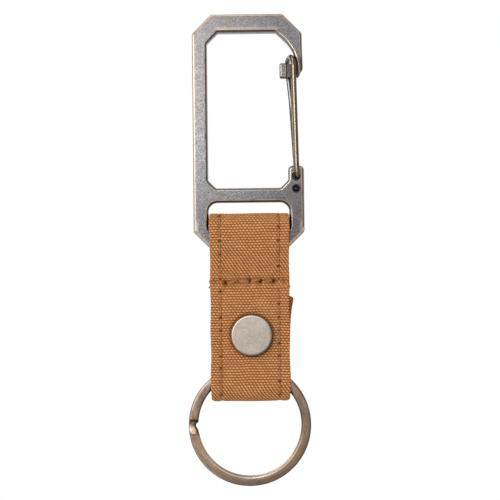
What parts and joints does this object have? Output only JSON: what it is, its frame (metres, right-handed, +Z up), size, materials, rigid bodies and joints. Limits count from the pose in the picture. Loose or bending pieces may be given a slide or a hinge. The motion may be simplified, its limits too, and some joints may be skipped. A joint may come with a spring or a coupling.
{
  "type": "belt key clip",
  "caption": "Hanging key clip: flat clip plate with a sprung wire gate, folded canvas strap closed by a snap, and a split ring that swings in the strap's lower loop.",
  "frame": {"origin": "middle of the underside of the clip plate's top bar, the face on which the clip hangs", "axes": "+Z up along the hanging clip, front with the snap cap towards -Y, gate on the +X side"},
  "size_m": [0.035, 0.01, 0.1347],
  "materials": {
    "clip_plate": "antique brass, edges rubbed bright",
    "gate_wire": "antique plated spring wire",
    "canvas": "plain-woven heavy canvas",
    "canvas_inner": "plain-woven heavy canvas, inner ply",
    "thread": "twisted sewing thread",
    "snap_shell": "satin nickel plated",
    "snap_inner": "nickel plated",
    "spring_steel": "hard drawn wire",
    "ring": "antique brass plated"
  },
  "bodies": {
    "carabiner": {"carabiner_frame": "clip_plate"},
    "gate": {"gate_wire": "gate_wire"},
    "strap": {"strap_face": "canvas", "strap_lining": "canvas_inner", "strap_edge_stitching": "thread", "cross_seam_stitching": "thread", "snap_cap": "snap_shell", "snap_barrel": "snap_inner", "snap_socket": "snap_inner", "snap_spring": "spring_steel"},
    "flap": {"flap_face": "canvas", "flap_lining": "canvas_inner", "flap_edge_stitching": "thread", "flap_hem_stitching": "thread", "snap_stud": "snap_inner", "snap_eyelet": "snap_shell"},
    "ring": {"split_ring": "ring"}
  },
  "joints": [
    {"name": "gate_swing", "type": "hinge", "parent": "carabiner", "child": "gate", "pos_m": [0.01355, 0, -0.04279], "axis": [0, -1, 0], "range_deg": [0, 24], "stiffness_Nm_per_rad": 0.03, "springref_deg": -11.46},
    {"name": "strap_swing", "type": "hinge", "parent": "carabiner", "child": "strap", "pos_m": [0, 0, -0.05952], "axis": [1, 0, 0], "range_deg": [-90, 90]},
    {"name": "flap_open", "type": "hinge", "parent": "strap", "child": "flap", "pos_m": [0, 0, -0.1057], "axis": [-1, 0, 0], "range_deg": [0, 120]},
    {"name": "ring_swing", "type": "hinge", "parent": "strap", "child": "ring", "pos_m": [-0.00036, 0, -0.09863], "axis": [1, 0, 0], "range_deg": [-22, 22]}
  ]
}
